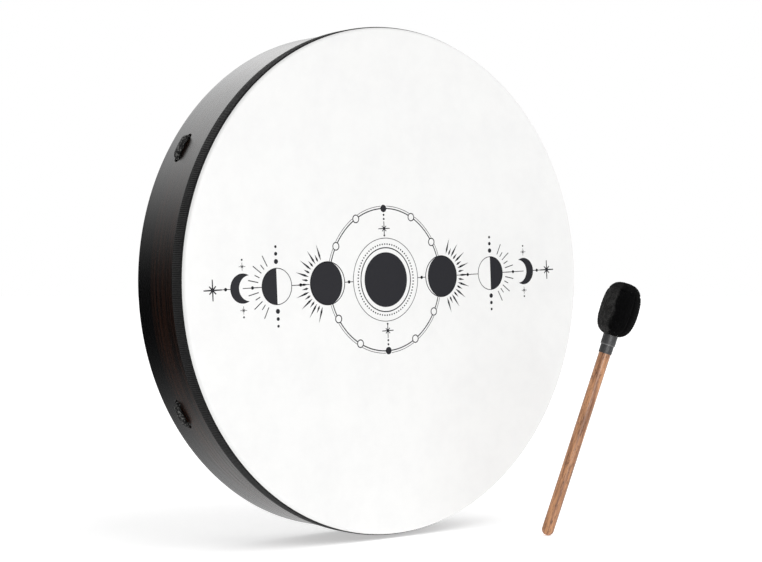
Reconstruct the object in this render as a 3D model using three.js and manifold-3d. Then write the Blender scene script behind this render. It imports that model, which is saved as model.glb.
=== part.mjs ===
// A 22 inch frame drum with a corded hand grip, and the soft beater that is played with it.
// Millimetres, +Z up. The origin is the middle of the head's playing face, which looks along -Y.

import * as THREE from 'three';
import * as BufferGeometryUtils from 'three/addons/utils/BufferGeometryUtils.js';
import Module from 'manifold-3d';

const wasm = await Module();
wasm.setup();

// ---- Driving dimensions ----

const seatGap = 0.3; // clearance between two pieces that touch, and the glue line between plies

// facets of the round pieces
const drumSides = 80;
const headSides = 24;
const stickSides = 20;
const holeSides = 10;
const cordSides = 8;
const wrapSides = 12;
const ringSteps = 36; // round the grip ring
const wrapSteps = 6; // along one wrap
const stitchSteps = 18; // along one stitch
const shoulderSteps = 3; // round the bearing edge

const drumDepth = 88.9; // playing face to back edge, 3 1/2 inches
const shellDiameter = 555.2; // outside of the bent wood
const outerPly = 1.2;
const corePly = 5.2;
const innerPly = 1.2;
const crestWidth = 1.5; // flat crest of the bearing edge
const backEdgeRound = 1;

const filmThickness = 0.4;
const shoulderRadius = 3.3; // where the film turns over the bearing edge
const skirtEnd = 19.6; // how far back the glued skirt reaches

const tapeFront = 3.4; // playing face to the ribbon's front edge
const tapeWidth = 17.2;
const tapeThickness = 0.9;
const tapeLap = 9; // degrees that the ribbon's end lies over its start
const tapeLapAngle = -4.5; // where that lap starts

const anchorCount = 6;
const firstAnchor = 30; // degrees from +X towards +Z
const anchorSetback = 28; // cord line to the back edge
const holeSpacing = 25;
const holeClearance = 0.5; // round the cord
const cordDiameter = 6.6;
const cordPress = 0.82; // how much flatter the cord is where it crosses the shell
const stitchBend = 5; // reach of the turn out of a hole

const ringRadius = 45; // centre line of the steel ring
const ringRod = 8; // its rod
const strandClearance = 1.8; // between the two strands of a pair, at the ring

const beaterLength = 295.5;
const stickDiameter = 13.5;
const stickEndRound = 4.5;
const stickTopDepth = 18; // stick's end to the top of the soft head
const headDiameter = 42;
const headLength = 61.3;
const bellyShare = 0.46; // height of the widest place, as a share of the head's length
const lowerSquareness = 3; // superellipse exponents of the head's outline
const upperSquareness = 2.8;
const coverThickness = 2.6;
const coreDiameter = 25;
const coreLength = 42;
const lowerSleeveWall = 0.4;
const lowerSleeveShows = 9.5;
const sleeveLap = 6; // hidden under the upper sleeve
const upperSleeveWall = 0.5;
const upperSleeveLength = 12.2;

const beaterSide = 138; // where the beater's foot stands
const beaterFront = -92;
const beaterLean = 17.9; // degrees from upright
const leanHeading = -39.8; // degrees from +X towards +Y

// ---- Derived sizes ----

const shellOuter = shellDiameter / 2;
const shellWall = outerPly + corePly + innerPly + 2 * seatGap;
const shellInner = shellOuter - shellWall;
const shellFront = filmThickness + seatGap;
const filmOuter = shellOuter + seatGap + filmThickness;
const tapeInner = filmOuter + seatGap;
const tapeOuter = tapeInner + tapeThickness;
const cordLine = drumDepth - anchorSetback;
const stitchWidth = cordDiameter / cordPress;
const stitchHeight = cordDiameter * cordPress;
const strandSpacing = cordDiameter + strandClearance;
const stitchLine = shellOuter + 1.5 * seatGap + stitchHeight / 2;
const floorLevel = -(stitchLine + stitchHeight / 2); // the lowest stitch rests on it
const holeRadius = stitchWidth / 2 + holeClearance;
const holeAngle = Math.asin(holeSpacing / 2 / shellOuter);
const wrapRadius = ringRod / 2 + cordDiameter; // steel rod and one layer of cord
const headBase = beaterLength - headLength;

// ---- Materials ----

const finish = (color, roughness, metalness = 0) =>
  new THREE.MeshStandardMaterial({ color, roughness, metalness });

const stainedWood = finish(0x231c1a, 0.4);
const stainedCore = finish(0x2c221d, 0.6);
const whiteFilm = finish(0xf6f6f5, 0.5);
const blackRibbon = finish(0x39393b, 0.85);
const blackCord = finish(0x171718, 0.75);
const steel = finish(0x8d8f92, 0.35, 1);
const warmWood = finish(0xb98258, 0.5);
const grayRubber = finish(0x4a4a4c, 0.7);
const brownCork = finish(0x8a6a48, 0.9);
const grayFoam = finish(0x6f7072, 0.95);
const blackPlush = finish(0x1b1b1c, 0.95);

// ---- Helpers ----

const radians = THREE.MathUtils.degToRad;

/** A point of the drum: angle from +X towards +Z, distance from the axis, distance behind the face. */
const onDrum = (angle, radius, depth) =>
  new THREE.Vector3(radius * Math.cos(angle), depth, radius * Math.sin(angle));

/** Profile points (distance from axis, height) on an arc, both ends included. */
function arc(centreX, centreY, radius, from, to, steps) {
  const points = [];
  for (let i = 0; i <= steps; i++) {
    const a = radians(from + ((to - from) * i) / steps);
    points.push([centreX + radius * Math.cos(a), centreY + radius * Math.sin(a)]);
  }
  return points;
}

/** A profile turned about the Y axis. A profile that leaves the axis closes on itself. */
function turned(profile, sides = drumSides) {
  const closes = profile[0][0] > 0;
  const points = (closes ? [...profile, profile[0]] : profile).map(([x, y]) => new THREE.Vector2(x, y));
  return new THREE.LatheGeometry(points, sides);
}

const tube = (inner, outer, from, to, sides) =>
  turned([[inner, from], [outer, from], [outer, to], [inner, to]], sides);

/** A polygon with the given corner radius, standing on a flat. */
function polygon(radius, sides) {
  const points = [];
  for (let i = 0; i < sides; i++) {
    const a = ((i + 0.5) / sides) * 2 * Math.PI;
    points.push(new THREE.Vector2(radius * Math.cos(a), radius * Math.sin(a)));
  }
  return points;
}

/** A cord along a curve. A pressed cord is wider along the drum's axis than across it. */
function cordAlong(curve, steps, width = cordDiameter, height = cordDiameter) {
  const pressed = ({ x, y }) => new THREE.Vector2(x * width, y * height);
  const section = new THREE.Shape(polygon(0.5, cordSides).map(pressed));
  return new THREE.ExtrudeGeometry(section, { extrudePath: curve, steps, bevelEnabled: false });
}

function solid(geometry) {
  const bare = geometry.clone();
  bare.deleteAttribute('normal');
  bare.deleteAttribute('uv');
  const merged = BufferGeometryUtils.mergeVertices(bare, 1e-4);
  return new wasm.Manifold(new wasm.Mesh({
    numProp: 3,
    vertProperties: new Float32Array(merged.attributes.position.array),
    triVerts: new Uint32Array(merged.index.array),
  }));
}

function meshOf(manifold) {
  const { vertProperties, triVerts } = manifold.getMesh();
  const geometry = new THREE.BufferGeometry();
  geometry.setAttribute('position', new THREE.BufferAttribute(vertProperties, 3));
  geometry.setIndex(new THREE.BufferAttribute(triVerts, 1));
  return geometry;
}

function piece(name, geometry, material) {
  const mesh = new THREE.Mesh(geometry, material);
  mesh.name = name;
  return mesh;
}

const anchors = Array.from({ length: anchorCount }, (_, i) => ({
  number: i + 1,
  angle: radians(firstAnchor + (360 / anchorCount) * i),
}));

// ---- Shell: three bent plies, cut to one bearing edge, drilled for the cord ----

function shellOutline() {
  const crestStart = shellOuter - shoulderRadius + shellFront;
  const bevel = crestStart - crestWidth - shellInner;
  const roundOver = shoulderRadius - shellFront;
  return turned([
    [shellInner, shellFront + bevel],
    [shellInner, drumDepth - backEdgeRound],
    [shellInner + backEdgeRound, drumDepth],
    [shellOuter - backEdgeRound, drumDepth],
    [shellOuter, drumDepth - backEdgeRound],
    ...arc(crestStart, shoulderRadius, roundOver, 0, -90, shoulderSteps),
    [crestStart - crestWidth, shellFront],
  ].reverse());
}

function cordHole(angle) {
  const drill = new THREE.CylinderGeometry(holeRadius, holeRadius, 4 * shellWall, holeSides);
  drill.rotateZ(Math.PI / 2);
  drill.translate(shellOuter - shellWall / 2, cordLine, 0);
  drill.rotateY(-angle);
  return solid(drill);
}

function shellPlies() {
  let drilled = solid(shellOutline());
  for (const { angle } of anchors) {
    for (const side of [-1, 1]) drilled = drilled.subtract(cordHole(angle + side * holeAngle));
  }
  const outerInside = shellOuter - outerPly;
  const coreOutside = outerInside - seatGap;
  const coreInside = coreOutside - corePly;
  const innerOutside = coreInside - seatGap;
  const beyond = shellWall;
  const plies = [
    ['shell_outer_ply', outerInside, shellOuter + beyond, stainedWood],
    ['shell_core_ply', coreInside, coreOutside, stainedCore],
    ['shell_inner_ply', shellInner - beyond, innerOutside, stainedWood],
  ];
  return plies.map(([name, inside, outside, material]) => {
    const band = solid(tube(inside, outside, -beyond, drumDepth + beyond));
    return piece(name, meshOf(drilled.intersect(band)), material);
  });
}

// ---- Head: film stretched over the bearing edge, its skirt glued down the shell ----

function headFilm() {
  const flatEnd = filmOuter - shoulderRadius;
  const lip = shoulderRadius + filmThickness / 2;
  return piece('head_film', turned([
    [0, 0],
    ...arc(flatEnd, shoulderRadius, shoulderRadius, -90, 0, shoulderSteps),
    [filmOuter, lip],
    [filmOuter - filmThickness, lip],
    ...arc(flatEnd, shoulderRadius, shoulderRadius - filmThickness, 0, -90, shoulderSteps),
    [0, filmThickness],
  ]), whiteFilm);
}

function headSkirt() {
  const start = shoulderRadius + filmThickness / 2 + seatGap;
  return piece('head_skirt', tube(filmOuter - filmThickness, filmOuter, start, skirtEnd), whiteFilm);
}

// ---- Trim ribbon: one strip round the shell, its end lapped over its start ----

function trimTape() {
  const step = 360 / drumSides;
  const rise = tapeThickness + seatGap;
  const inside = [];
  const outside = [];
  for (let a = 0; a <= 360 + tapeLap; a += step) {
    const lifted = a < 360 ? 0 : rise;
    const angle = radians(tapeLapAngle + a);
    inside.push([tapeInner + lifted, angle]);
    outside.push([tapeOuter + lifted, angle]);
  }
  const outline = [...outside, ...inside.reverse()];
  const shape = new THREE.Shape(outline.map(([r, a]) => new THREE.Vector2(r * Math.cos(a), r * Math.sin(a))));
  const strip = new THREE.ExtrudeGeometry(shape, { depth: tapeWidth, bevelEnabled: false });
  strip.rotateX(Math.PI / 2);
  strip.translate(0, tapeFront + tapeWidth, 0);
  return piece('trim_tape', strip, blackRibbon);
}

// ---- Hand grip: a steel ring, held by one long cord laced through the shell ----

class RingArc extends THREE.Curve {
  constructor(from, to) {
    super();
    this.from = from;
    this.to = to;
  }

  getPoint(t) {
    return onDrum(this.from + (this.to - this.from) * t, ringRadius, cordLine);
  }
}

function gripRing() {
  const rod = new THREE.TorusGeometry(ringRadius, ringRod / 2, cordSides, ringSteps);
  rod.rotateX(Math.PI / 2);
  rod.translate(0, cordLine, 0);
  return piece('grip_ring', rod, steel);
}

/** The cord's turns round the ring between two pairs of strands, as one sleeve. */
function cordWrap({ number, angle }) {
  const section = new THREE.Shape(polygon(wrapRadius, wrapSides));
  section.holes.push(new THREE.Path(polygon(ringRod / 2 + 2 * seatGap, holeSides)));
  const end = seatGap / ringRadius;
  const run = new RingArc(angle + end, angle + (2 * Math.PI) / anchorCount - end);
  const sleeve = { extrudePath: run, steps: wrapSteps, bevelEnabled: false };
  return piece(`cord_wrap_${number}`, new THREE.ExtrudeGeometry(section, sleeve), blackCord);
}

/** The cord out of one hole, along the outside of the shell and in through the next. */
function cordStitch({ number, angle }) {
  const bend = stitchBend / stitchLine;
  const corner = (side) => onDrum(angle + side * holeAngle, stitchLine, cordLine);
  const foot = (side) => onDrum(angle + side * holeAngle, shellInner, cordLine);
  const below = (side) => onDrum(angle + side * holeAngle, stitchLine - stitchBend, cordLine);
  const along = (side) => onDrum(angle + side * (holeAngle - bend), stitchLine, cordLine);
  const route = new THREE.CurvePath();
  route.add(new THREE.LineCurve3(foot(-1), below(-1)));
  route.add(new THREE.QuadraticBezierCurve3(below(-1), corner(-1), along(-1)));
  route.add(new THREE.LineCurve3(along(-1), along(1)));
  route.add(new THREE.QuadraticBezierCurve3(along(1), corner(1), below(1)));
  route.add(new THREE.LineCurve3(below(1), foot(1)));
  return piece(`cord_stitch_${number}`, cordAlong(route, stitchSteps, stitchWidth, stitchHeight), blackCord);
}

/** One straight stretch of cord between the shell and the ring. */
function cordStrand({ number, angle }, side) {
  const atRing = ringRadius + wrapRadius + seatGap;
  const spread = Math.asin(strandSpacing / 2 / atRing);
  const route = new THREE.LineCurve3(
    onDrum(angle + side * holeAngle, shellInner - seatGap, cordLine),
    onDrum(angle + side * spread, atRing, cordLine),
  );
  return piece(`cord_strand_${number}_${side < 0 ? 'a' : 'b'}`, cordAlong(route, 1), blackCord);
}

function handGrip() {
  const pieces = [gripRing()];
  for (const anchor of anchors) {
    pieces.push(cordStitch(anchor), cordStrand(anchor, -1), cordStrand(anchor, 1), cordWrap(anchor));
  }
  return pieces;
}

// ---- Beater: a wooden stick with a plush head, drawn upright along +Y and turned to +Z ----

function stick() {
  const r = stickDiameter / 2;
  const top = beaterLength - stickTopDepth;
  return piece('beater_stick', turned([
    [0, 0],
    ...arc(r - stickEndRound, stickEndRound, stickEndRound, -90, 0, 4),
    [r, top],
    [0, top],
  ], stickSides), warmWood);
}

function sleeves() {
  const bore = stickDiameter / 2 + seatGap;
  const lowerOuter = bore + lowerSleeveWall;
  const upperBore = lowerOuter + seatGap;
  const upperOuter = upperBore + upperSleeveWall;
  const upperStart = headBase - upperSleeveLength;
  const upperEnd = headBase - seatGap;
  const lowerStart = upperStart - lowerSleeveShows;
  const lowerEnd = upperStart + sleeveLap;
  return [
    piece('beater_lower_sleeve', tube(bore, lowerOuter, lowerStart, lowerEnd, stickSides), grayRubber),
    piece('beater_upper_sleeve', tube(upperBore, upperOuter, upperStart, upperEnd, stickSides), grayRubber),
  ];
}

/** The soft head's outline, set in by a distance: from the stick up over the belly to the top. */
function barrel(setIn) {
  const radius = headDiameter / 2 - setIn;
  const belly = headBase + headLength * bellyShare;
  const points = [];
  const half = (height, squareness, from, to, steps) => {
    for (let i = 0; i <= steps; i++) {
      const a = from + ((to - from) * i) / steps;
      const up = Math.abs(Math.sin(a)) ** (2 / squareness);
      points.push([radius * Math.cos(a) ** (2 / squareness), belly + height * up]);
    }
  };
  const atStick = Math.acos(((stickDiameter / 2 + seatGap) / radius) ** (lowerSquareness / 2));
  half(headBase + setIn - belly, lowerSquareness, atStick, 0, 5);
  points.pop();
  half(beaterLength - setIn - belly, upperSquareness, 0, Math.PI / 2, 6);
  points.at(-1)[0] = 0;
  return points;
}

function softHead() {
  const mouth = stickDiameter / 2 + seatGap;
  const coreRadius = coreDiameter / 2;
  const coreFrom = headBase + (headLength - coreLength) / 2;
  const coreTo = coreFrom + coreLength;
  const stickTop = beaterLength - stickTopDepth;
  const cover = [...barrel(coverThickness).reverse(), ...barrel(0)];
  const padding = [
    [0, coreTo + seatGap],
    [coreRadius + seatGap, coreTo + seatGap],
    [coreRadius + seatGap, coreFrom - seatGap],
    [mouth, coreFrom - seatGap],
    ...barrel(coverThickness + seatGap),
  ];
  const core = [
    [0, stickTop + seatGap],
    [mouth, stickTop + seatGap],
    [mouth, coreFrom],
    [coreRadius, coreFrom],
    [coreRadius, coreTo],
    [0, coreTo],
  ];
  return [
    piece('beater_cover', turned(cover, headSides), blackPlush),
    piece('beater_padding', turned(padding, stickSides), grayFoam),
    piece('beater_core', turned(core, stickSides), brownCork),
  ];
}

function beater() {
  const upright = new THREE.Group();
  upright.rotation.x = Math.PI / 2;
  upright.add(stick(), ...sleeves(), ...softHead());
  const lean = radians(beaterLean);
  const endFlat = stickDiameter / 2 - stickEndRound;
  const leaning = new THREE.Group();
  leaning.rotation.y = lean;
  leaning.position.z = stickEndRound * (1 - Math.cos(lean)) + endFlat * Math.sin(lean);
  leaning.add(upright);
  const placed = new THREE.Group();
  placed.rotation.z = radians(leanHeading);
  placed.position.set(beaterSide, beaterFront, floorLevel);
  placed.add(leaning);
  return placed;
}

const drum = new THREE.Group();
drum.add(...shellPlies(), headFilm(), headSkirt(), trimTape(), ...handGrip(), beater());

export default drum;
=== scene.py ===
import math

import bpy
import numpy as np
from mathutils import Matrix, Vector, noise


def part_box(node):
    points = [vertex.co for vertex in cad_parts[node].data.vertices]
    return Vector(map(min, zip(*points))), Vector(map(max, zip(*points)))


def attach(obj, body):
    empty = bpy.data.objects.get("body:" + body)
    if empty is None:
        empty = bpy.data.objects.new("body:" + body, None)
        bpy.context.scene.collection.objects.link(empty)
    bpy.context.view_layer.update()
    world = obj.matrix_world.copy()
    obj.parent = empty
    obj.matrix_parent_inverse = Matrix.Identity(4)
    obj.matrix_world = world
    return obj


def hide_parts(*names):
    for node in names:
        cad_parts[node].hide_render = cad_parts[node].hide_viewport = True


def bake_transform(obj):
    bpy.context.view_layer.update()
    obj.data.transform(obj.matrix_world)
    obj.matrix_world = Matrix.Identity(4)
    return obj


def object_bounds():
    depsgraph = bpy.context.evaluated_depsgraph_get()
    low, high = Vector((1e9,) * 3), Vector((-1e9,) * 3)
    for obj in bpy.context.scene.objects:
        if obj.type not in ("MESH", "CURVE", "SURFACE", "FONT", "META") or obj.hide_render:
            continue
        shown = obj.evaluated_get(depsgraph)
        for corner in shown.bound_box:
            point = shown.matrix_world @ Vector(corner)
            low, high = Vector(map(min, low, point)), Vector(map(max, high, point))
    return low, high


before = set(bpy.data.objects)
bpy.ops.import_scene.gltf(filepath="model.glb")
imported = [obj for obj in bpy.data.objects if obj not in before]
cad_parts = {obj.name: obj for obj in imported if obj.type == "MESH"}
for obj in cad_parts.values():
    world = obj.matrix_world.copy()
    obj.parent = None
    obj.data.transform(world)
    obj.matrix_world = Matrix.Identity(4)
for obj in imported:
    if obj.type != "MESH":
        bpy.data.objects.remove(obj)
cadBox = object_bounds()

mm = 0.001
fullTurn = 2 * math.pi
random = np.random.default_rng(7)
print("frame loaded:", len(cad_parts), "nodes")


# Places and sizes read from the frame.

def nodePoints(node):
    points = np.array([v.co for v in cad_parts[node].data.vertices], float)
    return np.unique(points.round(7), axis=0)


def fromAxis(points):  # distances from the drum's axis, which is Y
    return np.hypot(points[:, 0], points[:, 2])


def drumRadii(node):  # smallest and largest
    away = fromAxis(nodePoints(node))
    return away.min(), away.max()


def depths(node):  # nearest and furthest distance behind the playing face
    low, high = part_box(node)
    return low.y, high.y


def onDrum(angle, radius, depth):
    return np.array([radius * math.cos(angle), depth, radius * math.sin(angle)])


drumDepth = depths("shell_outer_ply")[1]
shellRadius = drumRadii("shell_outer_ply")[1]
shellInside = drumRadii("shell_inner_ply")[0]
filmRadius = drumRadii("head_film")[1]
floorLevel = cadBox[0].z


# Shader maths. A Wire is an output socket, and sums on it add Math nodes.

def operator(operation, reflected=False):
    def apply(self, other):
        first, second = (other, self) if reflected else (self, other)
        return self.finish.node("Math", {"operation": operation}, {0: first, 1: second})
    return apply


class Wire:
    def __init__(self, finish, socket):
        self.finish = finish
        self.socket = socket

    __add__, __radd__ = operator("ADD"), operator("ADD", True)
    __sub__, __rsub__ = operator("SUBTRACT"), operator("SUBTRACT", True)
    __mul__, __rmul__ = operator("MULTIPLY"), operator("MULTIPLY", True)
    __truediv__, __rtruediv__ = operator("DIVIDE"), operator("DIVIDE", True)
    __pow__, __rpow__ = operator("POWER"), operator("POWER", True)


class Finish:
    def __init__(self, name):
        self.material = bpy.data.materials.new(name)
        self.material.use_nodes = True
        self.tree = self.material.node_tree
        self.tree.nodes.clear()
        self.coordinates = None

    def node(self, kind, settings=None, inputs=None, output=0):
        made = self.tree.nodes.new("ShaderNode" + kind)
        for key, value in (settings or {}).items():
            if key == "stops":
                self.setStops(made.color_ramp, value)
            else:
                setattr(made, key, value)
        for key, value in (inputs or {}).items():
            self.feed(made.inputs[key], value)
        return Wire(self, made.outputs[output])

    def setStops(self, ramp, stops):
        while len(ramp.elements) < len(stops):
            ramp.elements.new(0.5)
        for element, (place, colour) in zip(ramp.elements, stops):
            element.position = place
            element.color = (*colour, 1) if len(colour) == 3 else colour

    def feed(self, socket, value):
        if isinstance(value, Wire):
            self.tree.links.new(value.socket, socket)
        elif hasattr(value, "__len__") and len(value) == 3 and socket.type == "RGBA":
            socket.default_value = (*value, 1)
        else:
            socket.default_value = value

    def place(self):  # the piece's own coordinates, in metres
        if self.coordinates is None:
            self.coordinates = self.node("TexCoord", {}, {}, "Object")
        return self.coordinates

    def part(self, letter):
        return self.node("SeparateXYZ", {}, {0: self.place()}, letter)

    def noise(self, scale, detail=2.0, rough=0.5, vector=None):
        inputs = {"Vector": vector or self.place(), "Scale": scale, "Detail": detail, "Roughness": rough}
        return self.node("TexNoise", {}, inputs, "Fac")

    def grain(self, factors, detail=2.0, rough=0.5):  # noise with its own scale along each axis
        stretched = self.node("VectorMath", {"operation": "MULTIPLY"}, {0: self.place(), 1: factors})
        return self.noise(1.0, detail, rough, stretched)

    def ramp(self, value, stops):
        return self.node("ValToRGB", {"stops": stops}, {"Fac": value}, "Color")

    def mixed(self, share, first, second, way="MIX"):
        settings = {"data_type": "RGBA", "blend_type": way}
        return self.node("Mix", settings, {0: share, 6: first, 7: second}, 2)

    def between(self, value, low, high):  # 0 below low, 1 above high
        return self.node("MapRange", {"interpolation_type": "SMOOTHSTEP"},
                         {"Value": value, "From Min": low, "From Max": high})

    def bump(self, height, distance, strength=1.0):
        inputs = {"Height": height, "Distance": distance, "Strength": strength}
        return self.node("Bump", {}, inputs, "Normal")

    def surface(self, **sockets):
        named = {key.replace("_", " "): value for key, value in sockets.items()}
        shader = self.node("BsdfPrincipled", {}, named, "BSDF")
        out = self.tree.nodes.new("ShaderNodeOutputMaterial")
        self.feed(out.inputs["Surface"], shader)
        return self.material


# Mesh making. Every closed piece is turned so that its faces point out.

def facingOut(points, faces):
    volume = 0.0
    for size in sorted({len(f) for f in faces}):
        corners = points[np.array([f for f in faces if len(f) == size])]
        for i in range(1, size - 1):
            volume += np.einsum("ij,ij->", corners[:, 0], np.cross(corners[:, i], corners[:, i + 1]))
    return faces if volume >= 0 else [f[::-1] for f in faces]


def placed(name, data):
    made = bpy.data.objects.new(name, data)
    bpy.context.scene.collection.objects.link(made)
    return made


def makePiece(name, points, faces, material, sharpAbove=35.0):
    points = np.asarray(points, float)
    mesh = bpy.data.meshes.new(name)
    mesh.from_pydata(points.tolist(), [], facingOut(points, faces))
    mesh.validate()
    mesh.polygons.foreach_set("use_smooth", [True] * len(mesh.polygons))
    mesh.set_sharp_from_angle(angle=math.radians(sharpAbove))
    mesh.materials.append(material)
    return placed(name, mesh)


def settle(piece, body, slotName, *stoodFor):
    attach(piece, body)
    if stoodFor:
        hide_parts(*stoodFor)
    return piece


def joined(parts):
    points = []
    faces = []
    for partPoints, partFaces in parts:
        start = len(points)
        points.extend(np.asarray(partPoints, float).tolist())
        faces.extend([[start + i for i in f] for f in partFaces])
    return np.array(points), faces


def turned(profile, sides, aroundY=True, closes=True):  # profile of (radius, along)
    points = []
    rows = []
    for radius, along in profile:
        onAxis = radius < 1e-9
        count = 1 if onAxis else sides
        rows.append([len(points) + (0 if onAxis else i) for i in range(sides)])
        for i in range(count):
            a = fullTurn * i / sides
            x, y = radius * math.cos(a), radius * math.sin(a)
            points.append((x, along, y) if aroundY else (x, y, along))
    faces = []
    following = rows[1:] + rows[:1] if closes else rows[1:]
    for low, high in zip(rows, following):
        for i in range(sides):
            j = (i + 1) % sides
            face = list(dict.fromkeys([low[i], low[j], high[j], high[i]]))
            if len(face) > 2:
                faces.append(face)
    return np.array(points), faces


def skinned(rings, closes=False):  # rings of shape (count, around, 3)
    count, around = rings.shape[:2]
    ids = np.arange(count * around).reshape(count, around)
    here = ids if closes else ids[:-1]
    there = np.roll(ids, -1, axis=0) if closes else ids[1:]
    quads = np.stack([here, np.roll(here, -1, 1), np.roll(there, -1, 1), there], -1)
    faces = quads.reshape(-1, 4).tolist()
    if not closes:
        faces += [ids[0][::-1].tolist(), ids[-1].tolist()]
    return rings.reshape(-1, 3), faces


def arc(centre, radius, start, end, steps):  # profile points, degrees
    turns = np.radians(np.linspace(start, end, steps + 1))
    return [(centre[0] + radius * math.cos(a), centre[1] + radius * math.sin(a)) for a in turns]


def unit(vectors):
    return vectors / np.linalg.norm(vectors, axis=-1, keepdims=True)


def evaluated(piece):
    graph = bpy.context.evaluated_depsgraph_get()
    return bpy.data.meshes.new_from_object(piece.evaluated_get(graph))


def takeMesh(piece, mesh):
    old = piece.data
    piece.modifiers.clear()
    piece.data = mesh
    bpy.data.meshes.remove(old)


# Stained shell: three bent plies with one bearing edge, drilled for the cord.

shellLook = {
    "sides": 288,
    "rowHeight": 5.5 * mm,
    "crestStart": 2.6 * mm,  # in from the outside, where the round-over meets the crest
    "crestWidth": 1.5 * mm,
    "backRound": 1.0 * mm,
    "edgeSteps": 5,
    "holeFlare": 0.7 * mm,
    "holeClearance": 1.2 * mm,  # between the cord and its hole
    "holeSides": 32,
    "grainLength": 3.2,  # how slowly the grain changes round the shell
    "streaks": 330.0,  # and how fast it changes across it
    "bandEdge": 63 * mm,  # behind this depth the stain is a neutral black
    "black": (0.0028, 0.0028, 0.003),
    "brown": (0.0135, 0.0066, 0.0036),
    "reddish": (0.024, 0.0085, 0.0042),
    "roughness": 0.22,
}


def stainedVeneer(name, brightness):
    look = shellLook
    f = Finish(name)
    depth = f.part("Y")
    slow = f.grain((look["grainLength"], 9, look["grainLength"]), 3.0)
    streakScale = (look["grainLength"], look["streaks"], look["grainLength"])
    streaks = f.grain(streakScale, 3.0, 0.6)
    fine = f.grain((14, 900, 14), 4.0, 0.65)
    pores = f.grain((34, 1500, 34), 2.0, 0.5)
    poreMask = f.between(pores, 0.6, 0.72)
    front = 1 - f.between(depth + slow * 0.003, look["bandEdge"] - 0.001, look["bandEdge"] + 0.004)
    figure = f.between(streaks * 0.55 + fine * 0.45, 0.38, 0.64)
    warm = f.mixed(f.between(slow, 0.35, 0.65), look["brown"], look["reddish"])
    wood = f.mixed(figure * front, look["black"], warm)
    pored = f.mixed(poreMask * 0.6, wood, look["black"])
    shade = f.mixed(1.0, pored, (brightness,) * 3, "MULTIPLY")
    relief = fine * 0.5 - poreMask * 0.6 + streaks * 0.4
    return f.surface(Base_Color=shade, Roughness=look["roughness"] + fine * 0.1,
                     Normal=f.bump(relief, 0.05 * mm, 0.28))


def shellFront(radius):  # depth of the shell's front edge at a distance from the axis
    look = shellLook
    film = depths("head_film")[1]
    start = shellRadius - look["crestStart"]
    crest = film - look["crestStart"] - 0.2 * mm
    inward = start - look["crestWidth"] - radius
    if radius > start:
        return crest + look["crestStart"] - math.sqrt(look["crestStart"] ** 2 - (radius - start) ** 2)
    return crest + max(0.0, inward)


def shellBack(radius):
    rounding = shellLook["backRound"]
    outward = radius - (shellRadius - rounding)
    inward = (shellInside + rounding) - radius
    past = min(rounding, max(outward, inward, 0.0))
    return drumDepth - rounding + math.sqrt(rounding ** 2 - past ** 2)


def plyProfile(inside, outside):
    look = shellLook
    across = np.linspace(inside, outside, look["edgeSteps"] + 1)
    if outside == shellRadius:
        across = outside - (outside - inside) * (1 - np.linspace(0, 1, look["edgeSteps"] + 3)) ** 2
    if inside == shellInside:
        across = inside + (outside - inside) * np.linspace(0, 1, look["edgeSteps"] + 3) ** 2
    rows = max(2, round(drumDepth / look["rowHeight"]))
    front = [(r, shellFront(r)) for r in across]
    back = [(r, shellBack(r)) for r in across[::-1]]
    out = np.linspace(front[-1][1], back[0][1], rows + 1)[1:-1]
    home = np.linspace(back[-1][1], front[0][1], rows + 1)[1:-1]
    return front + [(outside, y) for y in out] + back + [(inside, y) for y in home]


def cordHoles():
    flare = shellLook["holeFlare"]
    radius = cordDiameter / 2 + shellLook["holeClearance"]
    reach = 3 * mm  # how far the drill stands out of the shell
    wide = radius + flare + reach
    parts = []
    for anchor in anchors:
        for end in anchor["shellEnds"]:
            angle = math.atan2(end[2], end[0])
            profile = [
                (0, shellInside - reach), (wide, shellInside - reach),
                (radius, shellInside + flare), (radius, shellRadius - flare),
                (wide, shellRadius + reach), (0, shellRadius + reach)]
            points, faces = turned(profile, shellLook["holeSides"], aroundY=False)
            turn = Matrix.Rotation(math.pi / 2 - angle, 3, "Y")
            points = points @ np.array(turn).T + (0, end[1], 0)
            parts.append((points, facingOut(points - points.mean(0), faces)))
    return joined(parts)


def buildShell():
    points, faces = cordHoles()
    drill = makePiece("drill", points, faces, veneer)
    plies = [("shell_outer_ply", "shell_outer_bent", veneer, "stained_wood"),
             ("shell_core_ply", "shell_core_bent", coreVeneer, "stained_core"),
             ("shell_inner_ply", "shell_inner_bent", veneer, "stained_wood")]
    for node, name, finish, slotName in plies:
        inside, outside = drumRadii(node)
        points, faces = turned(plyProfile(inside, outside), shellLook["sides"])
        ply = makePiece(name, points, faces, finish)
        cut = ply.modifiers.new("holes", "BOOLEAN")
        cut.object = drill
        cut.solver = "EXACT"
        takeMesh(ply, evaluated(ply))
        ply.data.polygons.foreach_set("use_smooth", [True] * len(ply.data.polygons))
        ply.data.set_sharp_from_angle(angle=math.radians(30))
        settle(ply, "drum", slotName, node)
    bpy.data.objects.remove(drill)


# Film head: one skin over the bearing edge, and the ornament printed on it.

headLook = {
    "sides": 288,
    "thickness": 0.4 * mm,
    "shoulder": 3.3 * mm,
    "shoulderSteps": 8,
    "ringSpacing": 12 * mm,
    "white": (0.835, 0.835, 0.828),
    "cloud": (0.8, 0.8, 0.796),
}


def filmFinish():
    look = headLook
    f = Finish("whiteFilm")
    cloud = f.noise(16.0, 5.0, 0.6)
    mottle = f.noise(75.0, 3.0, 0.6)
    pearl = f.between(cloud * 0.7 + mottle * 0.3, 0.35, 0.7)
    grain = f.noise(900.0, 2.0)
    colour = f.mixed(pearl, look["white"], look["cloud"])
    return f.surface(Base_Color=colour, Roughness=0.5 + pearl * 0.12,
                     Normal=f.bump(grain * 0.3 + mottle, 0.06 * mm, 0.4))


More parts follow.
